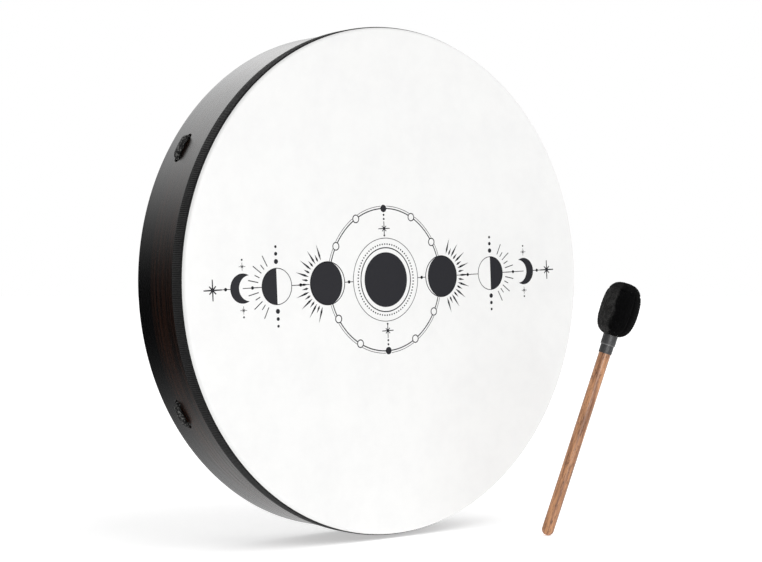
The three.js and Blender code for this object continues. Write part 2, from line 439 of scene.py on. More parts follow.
def buildHead():
    look = headLook
    flatEnd = filmRadius - look["shoulder"]
    skirtEnd = depths("head_skirt")[1]
    rings = np.arange(look["ringSpacing"], flatEnd - look["ringSpacing"] / 2, look["ringSpacing"])
    centre = (flatEnd, look["shoulder"])
    within = look["shoulder"] - look["thickness"]
    outside = [(r, 0) for r in rings] + arc(centre, look["shoulder"], -90, 0, look["shoulderSteps"])
    skirt = [(filmRadius, skirtEnd), (filmRadius - look["thickness"], skirtEnd)]
    inside = arc(centre, within, 0, -90, look["shoulderSteps"])
    underside = [(r, look["thickness"]) for r in rings[::-1]]
    profile = [(0, 0)] + outside + skirt + inside + underside + [(0, look["thickness"])]
    points, faces = turned(profile, look["sides"])
    skin = makePiece("head_skin", points, faces, filmFinish(), 50)
    settle(skin, "drum", "white_film", "head_film", "head_skirt")


printLook = {
    "centre": (-17 * mm, 1.5 * mm),
    "tilt": 2.8,  # degrees
    "proud": 0.06 * mm,
    "colour": (0.014, 0.014, 0.018),
    "fullMoon": 30 * mm,
    "beadCount": 12,
    "haloRings": ((35.0 * mm, 1.2 * mm), (45.5 * mm, 0.7 * mm)),  # radius and width
    "dottedHalo": (39.0 * mm, 0.92 * mm, 72),  # radius, dot radius, number of dots
    "wheel": ((78.0 * mm, 1.2 * mm), (80.6 * mm, 0.6 * mm)),
    "beads": 4.1 * mm,
    "bulge": 0.86,  # how full the moons beside the middle one are
    "hornAngle": 121.0,  # how far the crescents' horns reach round
    "hollow": 0.3,  # how far the hollow side stands from the middle, as a share of the radius
    "gibbous": 23 * mm,
    "quarter": 19 * mm,
    "crescent": 15.5 * mm,
    "leftSteps": (80.5 * mm, 147 * mm, 190 * mm, 227 * mm),  # places of the moons and the end star
    "rightSteps": (80.5 * mm, 156 * mm, 209 * mm, 247 * mm),
    "boldRays": (72.0, 17, 3 * mm, 21 * mm, 2.4 * mm),  # spread in degrees, number, start, end, width
    "fineRays": (62.0, 11, 5 * mm, 18 * mm, 1.0 * mm),
    "columnDots": ((7 * mm, 2.6 * mm), (15 * mm, 2.0 * mm), (22.5 * mm, 1.5 * mm)),  # place and radius
    "wheelStar": 56 * mm,
    "wheelDots": (48.5 * mm, 66.5 * mm, 71 * mm),
    "stars": (11 * mm, 8 * mm, 4.2 * mm),  # at the ends, in the wheel, and beside the crescents
    "starShape": (0.52, 0.055, 0.18),  # short arms, bluntness and waist, as shares of the long arms
    "outlines": (1.0 * mm, 0.8 * mm),  # round the moons beside the middle one and the half moons
    "crescentMarks": (7 * mm, 14 * mm, 1.1 * mm),  # how far off the star and dot are, and the dot's radius
    "line": 0.8 * mm,
    "lineDot": 1.8 * mm,
    "lineGaps": (1 * mm, 3 * mm, 10 * mm),  # after a ray fan, the shortest line, and before the star
}


def printedShape(outline):  # a flat shape with a little thickness, from an outline in x and z
    count = len(outline)
    front = [(x, -printLook["proud"], z) for x, z in outline]
    back = [(x, printLook["proud"], z) for x, z in outline]
    sides = [[i, (i + 1) % count, count + (i + 1) % count, count + i] for i in range(count)]
    faces = [list(range(count))[::-1], list(range(count, 2 * count))] + sides
    points = np.array(front + back)
    return points, facingOut(points - points.mean(0), faces)


def roundOutline(x, z, radius, steps, start=0.0, end=fullTurn):
    turns = np.linspace(start, end, steps, endpoint=abs(end - start) < fullTurn)
    return [(x + radius * math.cos(a), z + radius * math.sin(a)) for a in turns]


def printedRing(x, z, radius, width, steps, start=0.0, end=fullTurn):  # a whole ring, or an arc
    whole = end - start >= fullTurn
    proud = printLook["proud"]
    inner, outer = radius - width / 2, radius + width / 2
    corners = ((inner, -proud), (outer, -proud), (outer, proud), (inner, proud))
    turns = np.linspace(start, end, steps, endpoint=not whole)
    rings = [[(x + r * math.cos(a), y, z + r * math.sin(a)) for r, y in corners] for a in turns]
    points, faces = skinned(np.array(rings), closes=whole)
    return points, facingOut(points, faces)


def printedStar(x, z, size):  # four long arms with four short ones between them
    short, tip, waist = printLook["starShape"]
    outline = []
    for i in range(8):
        turn = fullTurn * i / 8
        reach = size if i % 2 == 0 else size * short
        blunt = tip * size / reach
        for r, a in ((reach, turn - blunt), (reach, turn + blunt), (size * waist, turn + fullTurn / 16)):
            outline.append((x + r * math.cos(a), z + r * math.sin(a)))
    return printedShape(outline)


def printedDot(x, z, radius, steps=14):
    return printedShape(roundOutline(x, z, radius, steps))


def printedStroke(x, z, angle, start, end, width, pointed=False):
    along = np.array([math.cos(angle), math.sin(angle)])
    over = np.array([-along[1], along[0]]) * width / 2
    near = np.array([x, z]) + along * start
    far = np.array([x, z]) + along * end
    wide = near * 0.7 + far * 0.3  # a pointed stroke is widest near its inner end
    corners = [near + over, near - over, far - over, far + over]
    if pointed:
        corners = [near, wide - over, far, wide + over]
    return printedShape([tuple(c) for c in corners])


def rayFan(x, middle, radius, rays, pointed):  # long and short in turn
    spread, count, start, end, width = rays
    turns = np.linspace(middle - math.radians(spread), middle + math.radians(spread), count)
    ends = [end, (start + end) / 2]
    return [printedStroke(x, 0, a, radius + start, radius + ends[i % 2], width, pointed)
            for i, a in enumerate(turns)]


def halfMoon(x, radius, outward):
    return roundOutline(x, 0, radius, 41, outward - math.pi / 2, outward + math.pi / 2)


def moonSide(side, steps):  # side is -1 to the left of the full moon and 1 to the right
    look = printLook
    gibbousAt, quarterAt, crescentAt, starAt = (side * s for s in steps)
    outward = 0 if side > 0 else math.pi
    gibbous, quarter, crescent = look["gibbous"], look["quarter"], look["crescent"]
    starOff, dotOff, dot = look["crescentMarks"]
    rayGap, shortest, starGap = look["lineGaps"]
    bulge = [(gibbousAt - side * gibbous * look["bulge"] * math.cos(a), gibbous * math.sin(a))
             for a in np.linspace(side * math.pi / 2, -side * math.pi / 2, 41)[1:-1]]
    parts = [printedShape(halfMoon(gibbousAt, gibbous, outward) + bulge)]
    parts.append(printedRing(gibbousAt, 0, gibbous, look["outlines"][0], 96))
    parts += rayFan(gibbousAt, outward, gibbous, look["boldRays"], True)
    parts.append(printedShape(halfMoon(quarterAt, quarter, outward)))
    parts.append(printedRing(quarterAt, 0, quarter, look["outlines"][1], 80))
    parts += rayFan(quarterAt, outward, quarter, look["fineRays"], False)
    parts.append(printedShape(crescentOutline(crescentAt, side, outward)))
    for up in (-1, 1):
        parts += [printedDot(quarterAt, up * (quarter + step), size, 20) for step, size in look["columnDots"]]
        parts.append(printedStar(crescentAt, up * (crescent + starOff), look["stars"][2]))
        parts.append(printedDot(crescentAt, up * (crescent + dotOff), dot))
    parts.append(printedStar(starAt, 0, look["stars"][0]))
    gaps = ((look["haloRings"][1][0], abs(gibbousAt) - gibbous),
            (abs(gibbousAt) + gibbous + rayGap, abs(quarterAt) - quarter),
            (abs(quarterAt) + quarter, abs(crescentAt)),
            (abs(crescentAt) + crescent, abs(starAt) - starGap))
    for start, end in gaps:
        if end - start > shortest:
            parts.append(printedStroke(0, 0, outward, start, end, look["line"]))
            parts.append(printedDot(side * (start + end) / 2, 0, look["lineDot"], 18))
    return parts


def crescentOutline(x, side, outward):  # an arc outside, and a flatter arc through the same horns
    look = printLook
    radius = look["crescent"]
    horn = math.radians(look["hornAngle"])
    deep = radius * (look["hollow"] - math.cos(horn))
    wide = radius * math.sin(horn)
    hollowRadius = (deep ** 2 + wide ** 2) / (2 * deep)
    centre = radius * look["hollow"] - hollowRadius
    turn = math.atan2(wide, radius * math.cos(horn) - centre)
    rim = roundOutline(x, 0, radius, 61, outward - horn, outward + horn)
    back = roundOutline(x + side * centre, 0, hollowRadius, 41, outward + turn, outward - turn)
    return rim + back[1:-1]


def printWheel():
    look = printLook
    parts = [printedDot(0, 0, look["fullMoon"], 120)]
    for radius, width in look["haloRings"]:
        parts.append(printedRing(0, 0, radius, width, 180))
    radius, dot, count = look["dottedHalo"]
    parts += [printedDot(x, z, dot, 8) for x, z in roundOutline(0, 0, radius, count)]
    beadLine = look["wheel"][0][0]
    count = look["beadCount"]
    moons = {0, count // 2}  # a moon stands there, so the bead is left out
    for i, (x, z) in enumerate(roundOutline(0, 0, beadLine, count)):
        a = fullTurn * i / count
        bead = 2 * math.asin(look["beads"] / 2 / beadLine)
        moon = look["gibbous"] / beadLine
        before = moon if i in moons else bead
        after = moon if (i + 1) % count in moons else bead
        for radius, width in look["wheel"]:
            parts.append(printedRing(0, 0, radius, width, 24, a + before, a + fullTurn / count - after))
        if i in moons:
            continue
        if abs(x) < look["beads"]:
            parts.append(printedDot(x, z, look["beads"], 32))
        else:
            parts.append(printedRing(x, z, look["beads"], 1.1 * mm, 40))
    for up in (-1, 1):
        parts.append(printedStar(0, up * look["wheelStar"], look["stars"][1]))
        parts += [printedDot(0, up * height, 1.2 * mm) for height in look["wheelDots"]]
    return parts


def buildPrint():
    look = printLook
    parts = printWheel() + moonSide(-1, look["leftSteps"]) + moonSide(1, look["rightSteps"])
    points, faces = joined(parts)
    tilt = math.radians(look["tilt"])
    x, z = points[:, 0].copy(), points[:, 2].copy()
    points[:, 0] = look["centre"][0] + x * math.cos(tilt) - z * math.sin(tilt)
    points[:, 2] = look["centre"][1] + x * math.sin(tilt) + z * math.cos(tilt)
    f = Finish("printInk")
    wearAndHighlight = f.noise(260.0, 4.0, 0.7)
    ink = f.mixed(f.between(wearAndHighlight, 0.62, 0.8), look["colour"], tuple(1.9 * c for c in look["colour"]))
    material = f.surface(Base_Color=ink, Roughness=0.55 + wearAndHighlight * 0.2, Specular_IOR_Level=0.18)
    piece = makePiece("head_print", points, faces, material)
    settle(piece, "drum", "white_film")


# Grosgrain ribbon round the front edge, its end lapped over its start.

ribbonLook = {
    "ribPitch": 2.2 * mm,
    "ribSteps": (0.0, 0.13, 0.32, 0.5, 0.68, 0.87),  # places along one rib, from groove to groove
    "ribHeights": (0.0, 0.82, 0.97, 1.0, 0.97, 0.82),
    "ribShare": 0.6,  # depth of the grooves, as a share of the thickness
    "selvage": 1.3 * mm,
    "rollIn": 2.2 * mm,  # how far from its front edge the ribbon leaves the head's shoulder
    "overFilm": (0.04 * mm, 0.1 * mm),  # least distance of its underside and of its top from the film
    "gap": 0.3 * mm,  # between the lapped end and what it lies on
    "lapRamp": 1.6,  # degrees that the end takes to climb over the start
    # the groove colour is painted shade: it darkens the grooves between the ribs, where shade falls
    "grooveShade": (0.0015, 0.0015, 0.0016),
    "dark": (0.005, 0.005, 0.0052),
    "light": (0.019, 0.019, 0.0194),
}


def ribbonFinish(ribs, start):  # number of ribs, and the angle in degrees of the first groove
    look = ribbonLook
    f = Finish("grosgrain")
    across, up = (f.part(letter) for letter in "XZ")
    turn = f.node("Math", {"operation": "ARCTAN2"}, {0: up, 1: across})
    wave = f.node("Math", {"operation": "COSINE"}, {0: (turn - math.radians(start)) * ribs})
    grooveShade = f.between(wave, -0.1, 0.8)
    threads = f.grain((1500, 260, 1500), 3.0, 0.6)
    cloud = f.noise(40.0, 3.0)
    ribbed = f.mixed(f.between(threads * 0.7 + cloud * 0.3, 0.3, 0.66), look["dark"], look["light"])
    # painted shade: the grooves between the ribs are darkened in the colour
    colour = f.mixed(grooveShade * 0.75, ribbed, look["grooveShade"])
    return f.surface(Base_Color=colour, Roughness=0.66 + grooveShade * 0.3, Specular_IOR_Level=0.16,
                     Sheen_Weight=0.04, Sheen_Roughness=0.45, Normal=f.bump(threads, 0.12 * mm, 0.5))


def ribbonLayer(depth, front, outer, thickness):  # inner and outer radius of a flat, unribbed ribbon
    look = ribbonLook
    shoulder = headLook["shoulder"]
    short = max(0.0, shoulder - depth)
    film = filmRadius - shoulder + math.sqrt(shoulder ** 2 - short ** 2)
    share = math.sin(math.pi / 2 * min(1.0, (depth - front) / look["rollIn"]))
    under, top = look["overFilm"]
    over = film + top + (outer - filmRadius - top) * share
    return max(film + under, over - thickness), over


def ribbonLap(node):  # where the lifted end starts and how far it runs, in degrees
    points = nodePoints(node)
    away = fromAxis(points)
    lifted = points[away > away.max() - ribbonLook["gap"]]
    middle = math.atan2(lifted[:, 2].mean(), lifted[:, 0].mean())
    turns = np.degrees(np.arctan2(lifted[:, 2], lifted[:, 0]) - middle)
    return math.degrees(middle) + turns.min(), turns.max() - turns.min()


def buildRibbon():
    look = ribbonLook
    front, back = depths("trim_tape")
    inside, outside = drumRadii("trim_tape")
    thickness = (outside - inside - look["gap"]) / 2
    lapStart, lapLength = ribbonLap("trim_tape")
    ribAngle = 360 / round(fullTurn * inside / look["ribPitch"])
    steps = len(look["ribSteps"])
    width = back - front
    edge = look["selvage"]
    places = [0, 0.3 * edge, 0.8 * edge, edge, look["rollIn"], 2.6 * edge, width * 0.55]
    places += [width - edge, width - 0.8 * edge, width - 0.3 * edge, width]
    layers = [ribbonLayer(front + p, front, inside + thickness, thickness) for p in places]
    rings = []
    for i in range(round((360 + lapLength) / ribAngle * steps)):
        height = look["ribHeights"][i % steps]
        degrees = ribAngle * (i // steps + look["ribSteps"][i % steps])
        angle = math.radians(lapStart + degrees)
        rib = 1 - look["ribShare"] * (1 - height)
        loop = 0.5 + 0.36 * height
        climb = min(1.0, max(0.0, (degrees - 360 + look["lapRamp"]) / look["lapRamp"]))
        lift = climb * climb * (3 - 2 * climb)
        outerLine = []
        innerLine = []
        for place, (under, over) in zip(places, layers):
            onEdge = min(place, width - place)
            share = rib if onEdge > 0.9 * edge else loop if onEdge > 0 else 0.35
            base = under + lift * (over - under + 0.05 * mm)  # the lapped end lies on the first layer
            outerLine.append(onDrum(angle, base + share * (over - under), front + place))
            innerLine.append(onDrum(angle, base, front + place))
        rings.append(outerLine + innerLine[::-1])
    points, faces = skinned(np.array(rings))
    piece = makePiece("trim_ribbon", points, faces, ribbonFinish(360 / ribAngle, lapStart), 70)
    settle(piece, "drum", "black_ribbon", "trim_tape")


# Hand grip: one braided cord, laced through the shell and wound round a steel ring.

cordLook = {
    "cells": 8,  # braid strands each way round the cord
    "stepsPerCell": 4,
    "cellLength": 2.7 * mm,
    "reliefShare": 0.13,
    "turns": 5.5,
    "stitchWidth": 1.42,  # widest and highest in the middle, as shares of the cord's diameter
    "stitchHeight": 0.95,
    "footWidth": 0.9,  # the same shares where the cord goes into its holes
    "footHeight": 0.86,
    "stitchSteps": 0.4 * mm,
    "cornerReach": 5.0 * mm,
    "stitchRise": 0.46,  # from the shell to the stitch's middle, as a share of its height
    "stitchFoot": 0.3 * mm,  # how far it reaches inside the shell
    "wrapWidths": (1.08, 0.985),  # at most this share of the cord, and this share of a turn's room
    "wrapClear": 1.24,  # how far a wrap keeps from its anchor, in strands' offsets
    "stepsPerTurn": 48,
    "ringSides": 144,
    "dark": (0.0022, 0.0022, 0.0024),
    # the light colour is a painted highlight: pale specks standing in for glints on the braid's crowns
    "light": (0.13, 0.13, 0.124),
}


def strandEnds(node):  # the strand's middle at the shell and at the ring
    points = nodePoints(node)
    order = np.argsort(fromAxis(points))
    half = len(order) // 2
    return points[order[half:]].mean(0), points[order[:half]].mean(0)


def readAnchors():
    found = []
    count = sum(name.startswith("cord_stitch_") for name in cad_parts)
    for number in range(1, count + 1):
        ends = [strandEnds(f"cord_strand_{number}_{side}") for side in "ab"]
        middle = (ends[0][0] + ends[1][0]) / 2
        found.append({
            "number": number,
            "angle": math.atan2(middle[2], middle[0]),
            "shellEnds": [ends[0][0], ends[1][0]],
            "ringEnds": [ends[0][1], ends[1][1]]})
    return found


anchors = readAnchors()
ringLow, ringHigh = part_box("grip_ring")
cordLine = (ringLow.y + ringHigh.y) / 2
rodRadius = (ringHigh.y - ringLow.y) / 2
ringRadius = ringHigh.x - rodRadius
strandLow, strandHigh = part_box("cord_strand_1_a")
cordDiameter = (strandHigh.y - strandLow.y) / math.cos(fullTurn / 16)  # the frame's strand has 8 sides


def cordFinish():
    look = cordLook
    f = Finish("braidedCord")
    yarn = f.noise(1400.0, 3.0, 0.65)
    glintNoise = f.noise(600.0, 2.0)
    # painted highlight: pale specks in the colour stand in for glints on the braid's crowns
    colour = f.mixed(f.between(yarn * 0.3 + glintNoise * 0.7, 0.53, 0.575), look["dark"], look["light"])
    return f.surface(Base_Color=colour, Roughness=0.5 + yarn * 0.25, Specular_IOR_Level=0.3,
                     Sheen_Weight=0.04, Sheen_Roughness=0.4, Normal=f.bump(yarn, 0.1 * mm, 0.6))


def braidRelief(a, b):  # two families of strands that pass over and under each other
    acrossA = a - np.floor(a) - 0.5
    acrossB = b - np.floor(b) - 0.5
    over = 1 - 2 * ((np.floor(a) + np.floor(b)) % 2)
    heightA = np.sqrt(1 - 3.6 * acrossA ** 2) + 0.45 * over * np.cos(math.pi * acrossB)
    heightB = np.sqrt(1 - 3.6 * acrossB ** 2) - 0.45 * over * np.cos(math.pi * acrossA)
    return np.clip((np.maximum(heightA, heightB) - 0.4) / 1.05, 0, 1)


def evenly(rows, spacing):  # the first row is a path, and the others follow it at the same spacing
    lengths = np.linalg.norm(np.diff(rows[0], axis=0), axis=1)
    along = np.concatenate([[0], np.cumsum(lengths)])
    places = np.linspace(0, along[-1], max(3, round(along[-1] / spacing) + 1))
    sampled = [np.array([np.interp(places, along, v) for v in np.asarray(row).T]).T for row in rows]
    return sampled, places


def braidedTube(points, ups, sizes, spacing=None):  # sizes are the cord's width and height
    look = cordLook
    spacing = spacing or look["cellLength"] / look["stepsPerCell"]
    (centres, ups, sizes), along = evenly([points, ups, sizes], spacing)
    tangents = unit(np.gradient(centres, axis=0))
    sideways = unit(np.cross(tangents, ups))
    upright = np.cross(sideways, tangents)
    around = look["cells"] * look["stepsPerCell"]
    turn = np.arange(around) / around
    a = look["cells"] * turn[None, :] + along[:, None] / look["cellLength"]
    b = look["cells"] * turn[None, :] - along[:, None] / look["cellLength"]
    reach = 1 - look["reliefShare"] * (1 - braidRelief(a, b))
    high = (reach * np.cos(fullTurn * turn) * sizes[:, 1:] / 2)[..., None] * upright[:, None, :]
    wide = (reach * np.sin(fullTurn * turn) * sizes[:, :1] / 2)[..., None] * sideways[:, None, :]
    return skinned(centres[:, None, :] + high + wide)


def bentCorner(start, corner, end, steps):
    t = np.linspace(0, 1, steps)[:, None]
    return (1 - t) ** 2 * start + 2 * t * (1 - t) * corner + t ** 2 * end


def stitchPath(anchor):
    look = cordLook
    line = shellRadius + look["stitchRise"] * look["stitchHeight"] * cordDiameter
    bend = look["cornerReach"]
    spread = (math.atan2(anchor["shellEnds"][1][2], anchor["shellEnds"][1][0]) - anchor["angle"]) % fullTurn
    reach = bend / (line * spread)

    def at(share, radius):  # share is -1 at one hole and 1 at the other
        return onDrum(anchor["angle"] + share * spread, radius, cordLine)

    halves = []
    for side in (-1, 1):
        foot = at(side, shellInside - look["stitchFoot"])
        below = at(side, line - bend)
        along = at(side * (1 - reach), line)
        halves.append(np.vstack([foot[None], bentCorner(below, at(side, line), along, 14)]))
    shares = np.linspace(-(1 - reach), 1 - reach, 16)[1:-1]
    top = np.array([at(s, line) for s in shares])
    return np.vstack([halves[0], top, halves[1][::-1]])


def lacePiece(kind, anchor, tube, material, body):
    label = f"{kind}_{anchor['number']}"
    piece = makePiece("braided_" + label, *tube, material, 180)
    settle(piece, body, "black_cord", "cord_" + label)


def buildStitch(anchor, material):
    look = cordLook
    points = stitchPath(anchor)
    angles = np.arctan2(points[:, 2], points[:, 0])
    middle = np.abs((angles - anchor["angle"] + math.pi) % fullTurn - math.pi)
    shown = np.where(fromAxis(points) > shellRadius, np.cos(middle / middle.max() * math.pi / 2), 0.0)
    foot = look["footWidth"], look["footHeight"]
    width = cordDiameter * (foot[0] + (look["stitchWidth"] - foot[0]) * shown ** 0.8)
    height = cordDiameter * (foot[1] + (look["stitchHeight"] - foot[1]) * shown)
    ups = np.tile((0.0, 1.0, 0.0), (len(points), 1))
    tube = braidedTube(points, ups, np.stack([height, width], 1), look["stitchSteps"])
    lacePiece("stitch", anchor, tube, material, "drum")


def buildStrand(anchor, which, material):  # strand a leaves the ring in front, strand b joins it behind
    side = -1 if which == 0 else 1
    shellEnd = anchor["shellEnds"][which]
    ringEnd = anchor["ringEnds"][which]
    radial = onDrum(anchor["angle"], 1, 0)
    inward = np.dot(ringEnd, radial) - ringRadius
    tangent = ringEnd - inward * radial + (0, side * (rodRadius + cordDiameter / 2), 0)
    points = np.array([shellEnd + (tangent - shellEnd) * t for t in np.linspace(0, 1, 9)])
    ups = np.tile((0.0, float(side), 0.0), (len(points), 1))
    sizes = np.tile((cordDiameter, cordDiameter), (len(points), 1))
    label = f"strand_{anchor['number']}_{'ab'[which]}"
    piece = makePiece("braided_" + label, *braidedTube(points, ups, sizes), material, 180)
    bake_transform(piece)
    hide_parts("cord_" + label)


def buildWrap(anchor, following, material):
    look = cordLook
    across, up = anchor["ringEnds"][1][0], anchor["ringEnds"][1][2]
    offset = abs(math.atan2(up, across) - anchor["angle"]) % math.pi
    clear = min(offset, math.pi - offset) * look["wrapClear"]
    start = anchor["angle"] + clear
    end = anchor["angle"] + (following["angle"] - anchor["angle"]) % fullTurn - clear
    steps = round(look["turns"] * look["stepsPerTurn"])
    centreLine = rodRadius + cordDiameter / 2
    widest, share = look["wrapWidths"]
    points = []
    ups = []
    sizes = []
    for i in range(steps + 1):
        t = i / steps
        ringAngle = start + (end - start) * t
        turn = math.pi / 2 + fullTurn * look["turns"] * t
        up = onDrum(ringAngle, math.cos(turn), math.sin(turn))
        points.append(onDrum(ringAngle, ringRadius, cordLine) + centreLine * up)
        spacing = (end - start) / look["turns"] * (ringRadius + centreLine * math.cos(turn))
        ups.append(up)
        sizes.append((min(widest * cordDiameter, share * spacing), cordDiameter))
    tube = braidedTube(np.array(points), np.array(ups), np.array(sizes))
    lacePiece("wrap", anchor, tube, material, "grip")


def steelFinish():
    f = Finish("steelRod")
    brushedAndSheen = f.grain((220, 2400, 220), 3.0)
    tarnish = f.noise(60.0, 4.0)
    colour = f.mixed(f.between(tarnish, 0.45, 0.75), (0.56, 0.56, 0.57), (0.3, 0.29, 0.28))
    return f.surface(Base_Color=colour, Metallic=1.0, Roughness=0.26 + brushedAndSheen * 0.2,
                     Normal=f.bump(brushedAndSheen, 0.03 * mm, 0.4))


def buildRing():
    points, faces = turned(arc((ringRadius, cordLine), rodRadius, 0, 345, 23), cordLook["ringSides"])
    piece = makePiece("grip_ring_rod", points, faces, steelFinish())
    settle(piece, "grip", "steel_rod", "grip_ring")


def buildGrip():
    material = cordFinish()
    for anchor in anchors:
        buildStitch(anchor, material)
        buildStrand(anchor, 0, material)
        buildStrand(anchor, 1, material)
        buildWrap(anchor, anchors[anchor["number"] % len(anchors)], material)
    buildRing()


# Beater, made upright on its own axis and laid on the axis that the frame gives.

footPoint = nodePoints("beater_lower_sleeve").mean(0)
beaterAxis = unit(nodePoints("beater_core").mean(0) - footPoint)
footPoint = footPoint + beaterAxis * ((nodePoints("beater_stick") - footPoint) @ beaterAxis).min()


def beaterSpan(node):  # lowest and highest place along the axis, largest and smallest radius
    points = nodePoints(node) - footPoint
    along = points @ beaterAxis
    away = np.linalg.norm(points - np.outer(along, beaterAxis), axis=1)
    return along.min(), along.max(), away.max(), away.min()


def beaterPlace():
    upright = Vector(beaterAxis)
    front = Vector((0, -1, 0)) - upright * Vector((0, -1, 0)).dot(upright)
    front.normalize()
    right = upright.cross(front)
    place = Matrix((right, -front, upright)).transposed().to_4x4()
    place.translation = Vector(footPoint)
    return place


def layBeater(piece, slotName, node):
    piece.matrix_world = beaterPlace()
    settle(piece, "beater", slotName, node)


stickLook = {
    "sides": 64,
    "endRound": 6.2 * mm,
    "tan": (0.56, 0.275, 0.135),
    "brown": (0.22, 0.095, 0.047),
    "dark": (0.06, 0.03, 0.019),
}


def stickFinish():
    look = stickLook
    f = Finish("warmWood")
    broad = f.grain((190, 190, 14), 3.0, 0.6)
    lines = f.grain((640, 640, 42), 4.0, 0.7)
    flecks = f.grain((900, 900, 150), 3.0, 0.65)
    poreMask = f.between(flecks, 0.55, 0.64)
    wood = f.mixed(f.between(broad * 0.5 + lines * 0.5, 0.4, 0.61), look["tan"], look["brown"])
    pored = f.mixed(poreMask * 0.75, wood, look["dark"])
    return f.surface(Base_Color=pored, Roughness=0.3 + lines * 0.16, Specular_IOR_Level=0.38,
                     Normal=f.bump(lines * 0.5 - poreMask * 0.5, 0.06 * mm, 0.5))


def buildStick():
    look = stickLook
    high, radius = beaterSpan("beater_stick")[1:3]
    end = look["endRound"]
    rows = np.linspace(end, high, 34)[1:]
    profile = [(0, 0), ((radius - end) / 2, 0)] + arc((radius - end, end), end, -90, 0, 10)
    profile += [(radius, z) for z in rows] + [(0, high)]
    points, faces = turned(profile, look["sides"], aroundY=False)
    layBeater(makePiece("stick_turned", points, faces, stickFinish()), "warm_wood", "beater_stick")


sleeveLook = {
    "sides": 64,
    "lip": 0.22 * mm,
    "ripple": (0.05 * mm, 900),  # height, and turns per metre in radians
    "colour": (0.02, 0.02, 0.0215),
    "pale": (0.042, 0.042, 0.044),
    # this pale colour is a painted highlight on the lip of the upper sleeve's lower edge
    "wearAndHighlight": (0.3, 0.3, 0.3),
}


def sleeveFinish():
    look = sleeveLook
    f = Finish("grayRubber")
    skin = f.noise(900.0, 3.0, 0.6)
    scuff = f.grain((90, 90, 260), 4.0, 0.7)
    edge = beaterSpan("beater_upper_sleeve")[0]
    height = f.part("Z")
    # painted highlight: a thin pale band round the upper sleeve's lower edge
    wearAndHighlight = f.between(height, edge - 0.0004, edge) * (1 - f.between(height, edge + 0.0006, edge + 0.0013))
    plain = f.mixed(f.between(scuff, 0.5, 0.75), look["colour"], look["pale"])
    colour = f.mixed(wearAndHighlight * skin * 0.8, plain, look["wearAndHighlight"])
    return f.surface(Base_Color=colour, Roughness=0.4 + skin * 0.2, Specular_IOR_Level=0.5,
                     Normal=f.bump(skin * 0.6 + scuff, 0.05 * mm, 0.5))


def buildSleeve(node, name, material):
    look = sleeveLook
    low, high, outside, inside = beaterSpan(node)
    lip = look["lip"]
    rows = np.linspace(low + lip, high - lip, 14)[1:-1]
    ripple, often = look["ripple"]
    wall = [(outside + ripple * math.sin(often * z), z) for z in rows]
    profile = arc((outside - lip, low + lip), lip, -90, 0, 4) + wall
    profile += arc((outside - lip, high - lip), lip, 0, 90, 4)
    profile += [(inside, high)] + [(inside, z) for z in rows[::-1]] + [(inside, low)]
    points, faces = turned(profile, look["sides"], aroundY=False)
    layBeater(makePiece(name, points, faces, material), "gray_rubber", node)


coverLook = {
    "sides": 64,
    "rows": 34,
    "lowerRows": 0.45,  # share of the rows that lie below the belly
    "bellyShare": 0.46,
    "lowerSquareness": 3.0,
    "upperSquareness": 2.85,
    "crownDrop": 1.6 * mm,  # the crown is pulled in by this much before it swells
    "neckDrop": 1.2 * mm,  # the neck is drawn down over the sleeve
    "offCentre": (0.46 * mm, -0.38 * mm),
    "thickness": 2.2 * mm,
    "panels": 4,
    "seamTurn": -5.0,  # degrees, where the first seam runs
    "capSeam": 0.83,  # height of the seam round the top, as a share of the length
    "seamDepth": 0.55 * mm,
    "pileHeight": 0.42 * mm,
    "sheenSide": 175.0,  # degrees, the middle of the panel lightened by painted sheen
    "seamWidths": (1.1 * mm, 1.0 * mm),  # of the upright seams and of the one round the top
    "pileScales": (620, 1500),
    "pressure": 9.0,
    "puffFrames": 20,
    "quality": 8,
    "mass": 0.08,
    "mostPuff": 1.1 * mm,
    "simScale": 20.0,
    "black": (0.0006, 0.0006, 0.0007),
    "gray": (0.003, 0.003, 0.0032),
    "brushedAndSheen": (0.05, 0.049, 0.048),  # painted sheen: the colour that lightens one panel, as if its pile caught the light
}


def plushFinish():
    look = coverLook
    f = Finish("blackPlush")
    tufts = f.noise(950.0, 3.0, 0.7)
    strokes = f.grain((260, 260, 120), 3.0)
    speckle = f.between(tufts * 0.6 + strokes * 0.4, 0.4, 0.68)
    x, y, height = (f.part(letter) for letter in "XYZ")
    # painted sheen: one panel, and a little of the cap beside it, is lighter in colour where its pile catches
    # the light
    middle = math.radians(look["sheenSide"])
    side = x * math.cos(middle) + y * math.sin(middle)
    strip = f.between(side / (x * x + y * y) ** 0.5 + strokes * 0.2, 0.87, 1.02)
    low, high = beaterSpan("beater_cover")[:2]
    seam = low + (high - low) * look["capSeam"]
    cap = f.between(height + strokes * 0.004, seam, seam + 0.005)
    brushedAndSheen = strip * (1 - cap * 0.75) + cap * f.between(side, -0.004, 0.008) * 0.15
    deep = f.mixed(speckle, look["black"], look["gray"])
    colour = f.mixed(brushedAndSheen * (0.25 + speckle * 0.75), deep, look["brushedAndSheen"])
    return f.surface(Base_Color=colour, Roughness=0.88 + tufts * 0.1, Specular_IOR_Level=0.04,
                     Sheen_Weight=0.02, Sheen_Roughness=0.5, Normal=f.bump(tufts, 0.35 * mm, 0.8))


